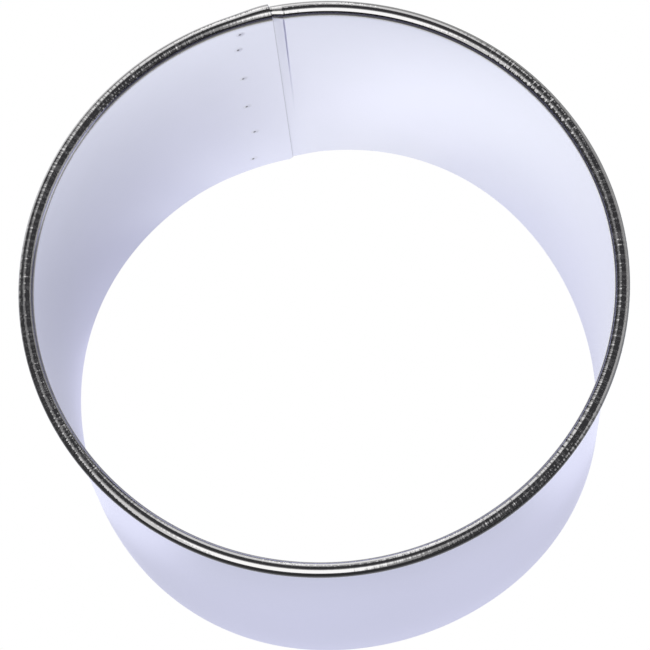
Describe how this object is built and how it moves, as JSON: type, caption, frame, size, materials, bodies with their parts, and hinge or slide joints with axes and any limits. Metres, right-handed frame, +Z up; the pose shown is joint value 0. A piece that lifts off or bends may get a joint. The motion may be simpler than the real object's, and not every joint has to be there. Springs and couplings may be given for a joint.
{
  "type": "biscuit cutter",
  "caption": "Plain round cutter for biscuits and pastry: a tinplate strip bent to a ring, its top edge rolled into a bead, its ends lapped and spot-welded.",
  "frame": {"origin": "centre of the ring on the plane of the cutting edge", "axes": "+Z up the ring's axis, from the cutting edge to the rolled bead; the line of spot welds lies on +Y"},
  "size_m": [0.0796, 0.0798, 0.0502],
  "materials": {
    "tinplate": "satin tin on the wall, bright on the rolled bead",
    "weld": "dull, pressed by the electrode"
  },
  "bodies": {
    "root": {"rolled_strip": "tinplate", "spot_weld_1": "weld", "spot_weld_2": "weld", "spot_weld_3": "weld", "spot_weld_4": "weld", "spot_weld_5": "weld", "spot_weld_6": "weld"}
  },
  "joints": []
}
